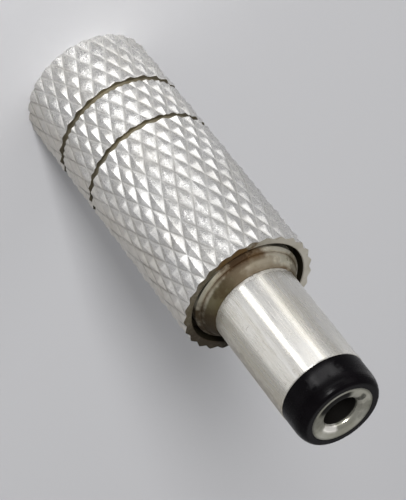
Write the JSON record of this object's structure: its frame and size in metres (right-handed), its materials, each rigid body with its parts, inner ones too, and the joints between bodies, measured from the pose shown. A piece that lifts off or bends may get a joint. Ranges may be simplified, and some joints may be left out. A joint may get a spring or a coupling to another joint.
{
  "type": "dc barrel plug",
  "caption": "DC barrel plug for a cable: a knurled shell screws over a plain barrel contact with an insulated nose and a flared centre contact.",
  "frame": {"origin": "centre of the shell's flat end face, which the plug stands on", "axes": "+Z along the plug's axis, from the cable end to the nose; +X towards the centre tag"},
  "size_m": [0.0088, 0.0088, 0.0301],
  "materials": {
    "shell_plate": "satin",
    "barrel_plate": "satin",
    "black_plastic": "gloss",
    "contact_plate": "satin",
    "cream_plastic": "matte",
    "tag_tin": "satin",
    "liner_plastic": "matte"
  },
  "bodies": {
    "shell": {"knurled_shell": "shell_plate"},
    "liner": {"insulating_liner": "liner_plastic"},
    "plug_insert": {"barrel": "barrel_plate", "nose_insulator": "black_plastic", "centre_contact": "contact_plate", "rear_insulator": "cream_plastic", "centre_tag": "tag_tin", "sleeve_tag": "tag_tin"}
  },
  "joints": [
    {"name": "thread_travel", "type": "slide", "parent": "shell", "child": "liner", "axis": [0, 0, 1], "range_m": [0, 0.004]},
    {"name": "thread_turn", "type": "hinge", "parent": "liner", "child": "plug_insert", "pos_m": [0, 0, 0.0164], "axis": [0, 0, 1], "range_deg": [0, 2880]}
  ],
  "couplings": [
    {"joint": "thread_turn", "follows": "thread_travel", "rad_per_m": 12566}
  ]
}
